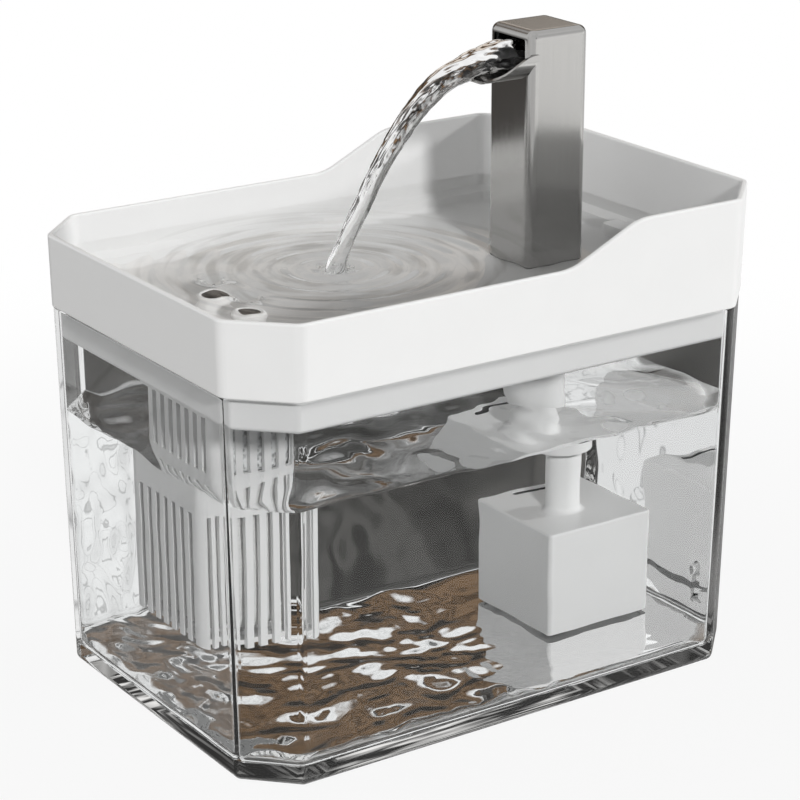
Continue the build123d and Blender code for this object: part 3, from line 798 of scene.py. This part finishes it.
def makeStream(form):
    line = smoothStations(form["stations"], form["between"])
    rings, paintedReflectionFlecks, length = [], [], 0.0
    for k, station in enumerate(line):
        ahead, back = line[min(k + 1, len(line) - 1)], line[max(k - 1, 0)]
        along = Vector((0.0, ahead[0] - back[0], ahead[1] - back[1])).normalized()
        up = Vector((0.0, -along.z, along.y))
        centre = Vector((0.0, station[0], station[1]))
        length += (Vector((ahead[0], ahead[1])) - Vector((station[0], station[1]))).length
        ring = []
        for i in range(form["around"]):
            angle = 2 * math.pi * i / form["around"]
            turned = angle + form["twist"] * length / form["twistLength"]
            swell = 1 + form["ridge"] * ridgeAt(turned, length, form["ridgeNoise"])
            swell += form["fineRidge"] * form["ridge"] * ridgeAt(turned, length, form["fineNoise"])
            paintedReflectionFleck = paintedReflectionFleckAt(form, angle, length)
            wide = station[2] * swell + form["fleckHeight"] * paintedReflectionFleck
            deep = station[3] * swell + form["fleckHeight"] * paintedReflectionFleck
            ring.append(centre + Vector((wide * math.cos(angle), 0.0, 0.0)) + up * (deep * math.sin(angle)))
            paintedReflectionFlecks.append(paintedReflectionFleck)
        rings.append(ring)
    points, faces = ringSkin(rings)
    stream = meshObject("waterStream", [Vector(p) * mm for p in points], faces, 0.0)
    dark = stream.data.attributes.new("paintedReflectionFleck", "FLOAT", "POINT")
    dark.data.foreach_set("value", paintedReflectionFlecks + [0.0, 0.0])    # and the two poles
    setMaterial(stream, makeStreamWater(form))
    stream.visible_shadow = False
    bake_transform(stream)


makeStream(streamForm)
say("stream")


bubbles = {
    # centre and half spread in millimetres, how many, least and most radius, seed
    "splash": ((0.0, -25.0, 140.2), (4.6, 4.6, 1.4), 46, 0.3, 0.95, 5),
    "leftDrain": ((-10.8, -64.2, 139.9), (5.0, 5.0, 0.5), 9, 0.35, 0.8, 11),
    "rightDrain": ((10.8, -64.2, 139.9), (5.0, 5.0, 0.5), 9, 0.35, 0.8, 17),
}


def makeBubbleTree():
    tree = bpy.data.node_groups.new("bubbleCluster", "GeometryNodeTree")
    sockets = {}
    for label, kind in (
        ("Centre", "NodeSocketVector"), ("Spread", "NodeSocketVector"), ("Count", "NodeSocketInt"),
        ("Least", "NodeSocketFloat"), ("Most", "NodeSocketFloat"), ("Seed", "NodeSocketInt"),
        ("Material", "NodeSocketMaterial"),
    ):
        sockets[label] = tree.interface.new_socket(label, in_out="INPUT", socket_type=kind).identifier
    tree.interface.new_socket("Geometry", in_out="OUTPUT", socket_type="NodeSocketGeometry")
    given, out = tree.nodes.new("NodeGroupInput"), tree.nodes.new("NodeGroupOutput")
    strewn = addNode(tree, "FunctionNodeRandomValue", {"data_type": "FLOAT_VECTOR"}, _0=(-1, -1, -1),
                     _1=(1, 1, 1), Seed=given.outputs["Seed"])
    spot = vectorCalc(tree, "MULTIPLY_ADD", strewn.outputs[0], given.outputs["Spread"],
                      given.outputs["Centre"])
    points = addNode(tree, "GeometryNodePoints", Count=given.outputs["Count"], Position=spot)
    ball = addNode(tree, "GeometryNodeMeshIcoSphere", Radius=1.0, Subdivisions=3)
    size = addNode(tree, "FunctionNodeRandomValue", {"data_type": "FLOAT"}, _2=given.outputs["Least"],
                   _3=given.outputs["Most"], Seed=given.outputs["Seed"])
    placed = addNode(tree, "GeometryNodeInstanceOnPoints", Points=points.outputs[0],
                     Instance=ball.outputs[0], Scale=size.outputs[1])
    real = addNode(tree, "GeometryNodeRealizeInstances", Geometry=placed.outputs[0])
    smooth = addNode(tree, "GeometryNodeSetShadeSmooth", Geometry=real.outputs[0])
    coated = addNode(tree, "GeometryNodeSetMaterial", Geometry=smooth.outputs[0],
                     Material=given.outputs["Material"])
    tree.links.new(coated.outputs[0], out.inputs[0])
    return tree, sockets


def frozenMesh(thing):
    # the evaluated shape as a plain mesh
    return bpy.data.meshes.new_from_object(thing.evaluated_get(bpy.context.evaluated_depsgraph_get()))


def makeBubbles(form, film):
    tree, sockets = makeBubbleTree()
    for name, (centre, reach, count, least, most, seed) in form.items():
        source = bpy.data.objects.new(name + "Source", bpy.data.meshes.new(name + "Source"))
        bpy.context.scene.collection.objects.link(source)
        modifier = source.modifiers.new("bubbles", "NODES")
        modifier.node_group = tree
        for label, value in (
            ("Centre", Vector(centre) * mm), ("Spread", Vector(reach) * mm), ("Count", count),
            ("Least", least * mm), ("Most", most * mm), ("Seed", seed), ("Material", film),
        ):
            modifier[sockets[label]] = value
        mesh = frozenMesh(source)
        bpy.data.objects.remove(source)
        piece = bpy.data.objects.new(name + "Bubbles", mesh)
        bpy.context.scene.collection.objects.link(piece)
        setMaterial(piece, film)
        piece.visible_shadow = False
        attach(piece, "tray")


makeBubbles(bubbles, clear("bubbleFilm", colour(0.99, 0.99, 0.99), 1.33)[0])
say("bubbles")


softForm = {
    "edge": 0.0035,
    "steps": 28,
    "coreReach": 1.25,    # above 1 more of the steps go into the rounded edges
}


def makeRoundedBlock(name, low, high, form):
    # a block with rounded edges
    middle, half = (low + high) / 2, (high - low) / 2
    radius, steps = form["edge"], form["steps"]
    core = Vector([h - radius for h in half])
    points, faces, seen = [], [], {}

    def corner(unit):
        key = tuple(round(c, 5) for c in unit)
        if key not in seen:
            inner = Vector([core[a] * max(-1.0, min(1.0, unit[a] * form["coreReach"])) for a in range(3)])
            outer = Vector([half[a] * unit[a] for a in range(3)])
            away = outer - inner
            away = away.normalized() * radius if away.length > 1e-9 else away
            seen[key] = len(points)
            points.append(middle + (inner + away))
        return seen[key]

    for axis in range(3):
        u, v = [a for a in range(3) if a != axis]
        for side in (-1.0, 1.0):
            flip = (side < 0) != (axis == 1)
            for i in range(steps):
                for j in range(steps):
                    quad = []
                    for di, dj in ((0, 0), (1, 0), (1, 1), (0, 1)):
                        unit = [0.0, 0.0, 0.0]
                        unit[axis] = side
                        unit[u] = -1 + 2 * (i + di) / steps
                        unit[v] = -1 + 2 * (j + dj) / steps
                        quad.append(corner(unit))
                    faces.append(tuple(reversed(quad)) if flip else tuple(quad))
    return meshObject(name, points, faces, 0.0)


filterBagForm = {
    "startInset": 0.0014,
    "voxel": 0.0018,
    "pressure": 4.0,
    "frames": 20,
    "mostMove": 0.0016,
    "crumple": 0.0005,
    "crumpleScale": 0.006,
    "sealHeight": 0.0007,
    "sealWidth": 0.0007,
}


def blowUp(bag, form):
    # cloth under pressure, which moves no point further than mostMove
    rest = [v.co.copy() for v in bag.data.vertices]
    cloth = bag.modifiers.new("cloth", "CLOTH")
    cloth.settings.use_pressure = True
    cloth.settings.uniform_pressure_force = form["pressure"]
    cloth.settings.effector_weights.gravity = 0.0
    for frameNumber in range(1, form["frames"] + 1):
        bpy.context.scene.frame_set(frameNumber)
    blown = frozenMesh(bag)
    bag.modifiers.clear()
    bpy.context.scene.frame_set(1)
    for vertex, was, now in zip(bag.data.vertices, rest, blown.vertices):
        move = now.co - was
        if move.length > form["mostMove"]:
            move = move.normalized() * form["mostMove"]
        vertex.co = was + move
    bpy.data.meshes.remove(blown)


def makeFilterBag(name, low, high, block, form):
    # a filled felt bag that is blown up until it fits its place, with a heat-sealed seam round it
    inset = Vector((form["startInset"],) * 3)
    bag = makeRoundedBlock(name, low + inset, high - inset, block)
    voxels = bag.modifiers.new("voxels", "REMESH")
    voxels.mode = "VOXEL"
    voxels.voxel_size = form["voxel"]
    bag.data, old = frozenMesh(bag), bag.data
    bpy.data.meshes.remove(old)
    bag.modifiers.clear()
    blowUp(bag, form)
    middle = (low + high) / 2
    normals = [n.vector.copy() for n in bag.data.vertex_normals]
    for vertex, normal in zip(bag.data.vertices, normals):
        spot = vertex.co
        fold = form["crumple"] * noise.noise(spot / form["crumpleScale"])
        seal = form["sealHeight"] * math.exp(-((spot.y - middle.y) / form["sealWidth"]) ** 2)
        spot = spot + normal * (fold + seal * (1 - abs(normal.y)))
        vertex.co = Vector([max(low[a], min(high[a], spot[a])) for a in range(3)])
    finer = bag.modifiers.new("finer", "SUBSURF")
    finer.levels = finer.render_levels = 1
    return bag


for node, name, body, fill in (
    ("filter_sponge", "filterSponge", "filter", 0.9),
    ("filter_cartridge", "filterBag", "filter", 0.8),
    ("intake_sponge", "intakeSponge", "pump", 0.9),
):
    low, high = (Vector(c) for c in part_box(node))
    if name == "filterBag":
        piece = makeFilterBag(name, low, high, softForm, filterBagForm)
    else:
        piece = makeRoundedBlock(name, low, high, softForm)
    setMaterial(piece, finishes[slotOf[node]])
    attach(piece, body)
    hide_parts(node)
say("soft pieces")


studio = {
    "floorSize": 12.0,
    "floorDrop": 0.0004,
    "floorTone": colour(0.5, 0.5, 0.495),
    "floorGlow": 0.9,
    "glowNear": 0.14,
    "glowFar": 0.5,
    "ambient": 0.3,
    # direction and strength of the softer light that comes from one side
    "fills": (((0, -1, 0), 0.5), ((-1, 0, 0), 0.45)),
    "throughGlass": 0.66,
    "roomLow": 0.72,
    "cloudScale": 2.4,
    "cloudFrom": 0.3,
    "cloudTo": 0.7,
    "contourScale": 13.0,
    "contourTone": 0.5,
    "contourWidth": 0.03,
    "unevenFrom": 0.35,
    "unevenTo": 0.65,
    "unevenTones": (0.6, 1.4),
    # dark and brown parts of the room, which only glass, water and metal show
    "panels": (
        # azimuth, half width, elevation, half height, soft edge (all in degrees), colour, in metal only
        (146.0, 16.0, -24.0, 17.0, 3.0, colour(0.06, 0.058, 0.055), False),
        (138.0, 36.0, -64.0, 26.0, 5.0, colour(0.025, 0.024, 0.022), False),
        (150.0, 56.0, 26.0, 14.0, 5.0, colour(0.125, 0.08, 0.047), False),
        (150.0, 52.0, 9.0, 11.0, 5.0, colour(0.03, 0.026, 0.022), False),
        (146.0, 22.0, 20.0, 12.0, 6.0, colour(0.72, 0.65, 0.58), True),
        (214.0, 44.0, -20.0, 26.0, 12.0, colour(0.1, 0.093, 0.087), True),
        (358.0, 9.0, -20.0, 50.0, 5.0, colour(0.1, 0.1, 0.1), True),
        (34.0, 50.0, -12.0, 30.0, 14.0, colour(1.3, 1.3, 1.29), True),
    ),
    # name, direction towards the lamp, strength, angle in degrees
    "lamps": (
        ("keyLamp", (0.86, -0.22, 0.42), 1.65, 6.0),
        ("sideLamp", (0.30, 0.92, 0.25), 1.5, 6.0),
    ),
}


def makePanelGroup():
    # mask of a soft-edged panel in the room, given by azimuth and elevation in degrees
    labels = ("Azimuth", "Half Width", "Elevation", "Half Height", "Soft")
    group, given, out = newGroup(
        "roomPanel", [(label, "NodeSocketFloat", 20.0) for label in labels], [("Mask", "NodeSocketFloat")])
    gaze = addNode(group, "ShaderNodeTexCoord").outputs["Generated"]
    gaze = addNode(group, "ShaderNodeSeparateXYZ", _0=gaze)
    heading = calc(group, "DEGREES", calc(group, "ARCTAN2", gaze.outputs[1], gaze.outputs[0]))
    rise = calc(group, "DEGREES", calc(group, "ARCSINE", gaze.outputs[2]))
    turn = calc(group, "SUBTRACT", heading, given.outputs["Azimuth"])
    turn = calc(group, "WRAP", turn, 180.0, -180.0)
    climb = calc(group, "SUBTRACT", rise, given.outputs["Elevation"])
    masks = []
    for away, half in ((turn, "Half Width"), (climb, "Half Height")):
        inside = calc(group, "SUBTRACT", given.outputs[half], calc(group, "ABSOLUTE", away))
        masks.append(calc(group, "DIVIDE", inside, given.outputs["Soft"], clamp=True))
    group.links.new(calc(group, "MULTIPLY", *masks), out.inputs["Mask"])
    return group


def seenDirectly(tree, rays):
    # 1 for what the camera sees directly, in metal or through glass, 0 for light on a dull surface
    seen = calc(tree, "MAXIMUM", rays.outputs["Is Camera Ray"], rays.outputs["Is Glossy Ray"])
    seen = calc(tree, "MAXIMUM", seen, rays.outputs["Is Transmission Ray"])
    fresh = calc(tree, "LESS_THAN", rays.outputs["Diffuse Depth"], 0.5)
    return calc(tree, "MULTIPLY", seen, fresh)


def roomColour(tree, setup, rays, gaze):
    # what glass, water and metal show: a cloudy white room with dark panels
    cloud = noiseAt(tree, gaze, setup["cloudScale"], 3.0, Distortion=0.6)
    level = spread(tree, cloud, setup["cloudFrom"], setup["cloudTo"], setup["roomLow"], 1.0)
    # thin grey contours, which only show through glass and water
    fine = noiseAt(tree, gaze, setup["contourScale"], 1.0, Distortion=1.4)
    away = calc(tree, "ABSOLUTE", calc(tree, "SUBTRACT", fine, 0.5))
    line = spread(tree, away, 0.0, setup["contourWidth"], setup["contourTone"], 1.0)
    line = addNode(tree, "ShaderNodeMix", _0=rays.outputs["Is Transmission Ray"], _2=1.0, _3=line)
    level = calc(tree, "MULTIPLY", level, line.outputs[0])
    room = addNode(tree, "ShaderNodeCombineColor", _0=level, _1=level, _2=level).outputs[0]
    mirrored = calc(tree, "SUBTRACT", rays.outputs["Is Glossy Ray"], rays.outputs["Is Transmission Ray"],
                    clamp=True)
    uneven = spread(tree, fine, setup["unevenFrom"], setup["unevenTo"], *setup["unevenTones"])
    panelGroup = makePanelGroup()
    for azimuth, wide, elevation, high, soft, tone, metalOnly in setup["panels"]:
        mask = addNode(tree, "ShaderNodeGroup", {"node_tree": panelGroup}, Azimuth=azimuth, Half_Width=wide,
                       Elevation=elevation, Half_Height=high, Soft=soft).outputs[0]
        if metalOnly:
            mask = calc(tree, "MULTIPLY", mask, mirrored)
        room = mixColour(tree, mask, room, vectorCalc(tree, "SCALE", tone[:3], Scale=uneven))
    return room


def softLight(tree, setup, rays, gaze):
    # a little more from the front and from the left, and less where it has come through the clear walls
    soft = setup["ambient"]
    for side, strength in setup["fills"]:
        facing = calc(tree, "MAXIMUM", measure(tree, "DOT_PRODUCT", gaze, side), 0.0)
        soft = calc(tree, "MULTIPLY_ADD", facing, strength, soft)
    passed = spread(tree, rays.outputs["Is Transmission Ray"], 0.0, 1.0, 1.0, setup["throughGlass"])
    return calc(tree, "MULTIPLY", soft, passed)


def makeWorld(setup):
    world = bpy.data.worlds.new("studioWorld")
    world.use_nodes = True
    tree = world.node_tree
    tree.nodes.clear()
    rays = addNode(tree, "ShaderNodeLightPath")
    gaze = addNode(tree, "ShaderNodeTexCoord").outputs["Generated"]
    room = roomColour(tree, setup, rays, gaze)
    shown = mixColour(tree, rays.outputs["Is Camera Ray"], room, colour(1, 1, 1))
    soft = softLight(tree, setup, rays, gaze)
    fill = addNode(tree, "ShaderNodeBackground", Color=colour(1, 1, 1), Strength=soft)
    bright = addNode(tree, "ShaderNodeBackground", Color=shown, Strength=1.0)
    mix = addNode(tree, "ShaderNodeMixShader", _0=seenDirectly(tree, rays), _1=fill.outputs[0],
                  _2=bright.outputs[0])
    addNode(tree, "ShaderNodeOutputWorld", Surface=mix.outputs[0])
    bpy.context.scene.world = world


def makeFloor(setup):
    half, low = setup["floorSize"] / 2, -setup["floorDrop"]
    corners = [(-half, -half, low), (half, -half, low), (half, half, low), (-half, half, low)]
    floor = meshObject("floor", corners, [(0, 1, 2, 3)])
    material, tree, shader = newMaterial("paleFloor", Base_Color=setup["floorTone"], Roughness=0.9,
                                         Specular_IOR_Level=0.0)
    seen = seenDirectly(tree, addNode(tree, "ShaderNodeLightPath"))
    reach = measure(tree, "LENGTH", objectPlace(tree))
    glowing = addNode(tree, "ShaderNodeMapRange", {"interpolation_type": "SMOOTHSTEP"}, _0=reach,
                      _1=setup["glowNear"], _2=setup["glowFar"], _3=setup["floorGlow"], _4=1.0)
    share = calc(tree, "MULTIPLY", seen, glowing.outputs[0])
    glow = addNode(tree, "ShaderNodeEmission", Color=colour(1, 1, 1), Strength=1.0)
    mix = addNode(tree, "ShaderNodeMixShader", _0=share, _1=shader.outputs[0], _2=glow.outputs[0])
    tree.links.new(mix.outputs[0], tree.nodes["Material Output"].inputs["Surface"])
    setMaterial(floor, material)
    floor.visible_glossy = False
    floor.visible_transmission = False


def makeLamp(name, toLight, strength, angle):
    data = bpy.data.lights.new(name, "SUN")
    data.energy = strength
    data.angle = math.radians(angle)
    lamp = bpy.data.objects.new(name, data)
    bpy.context.scene.collection.objects.link(lamp)
    lamp.rotation_euler = Vector(toLight).to_track_quat("Z", "Y").to_euler()
    # direct light alone, so that it isn't counted again through the clear walls
    lamp.visible_transmission = False
    lamp.visible_glossy = False
    data.cycles.use_multiple_importance_sampling = False


bpy.context.scene.view_settings.view_transform = "Standard"
makeWorld(studio)
makeFloor(studio)
for lamp in studio["lamps"]:
    makeLamp(*lamp)
say("studio")
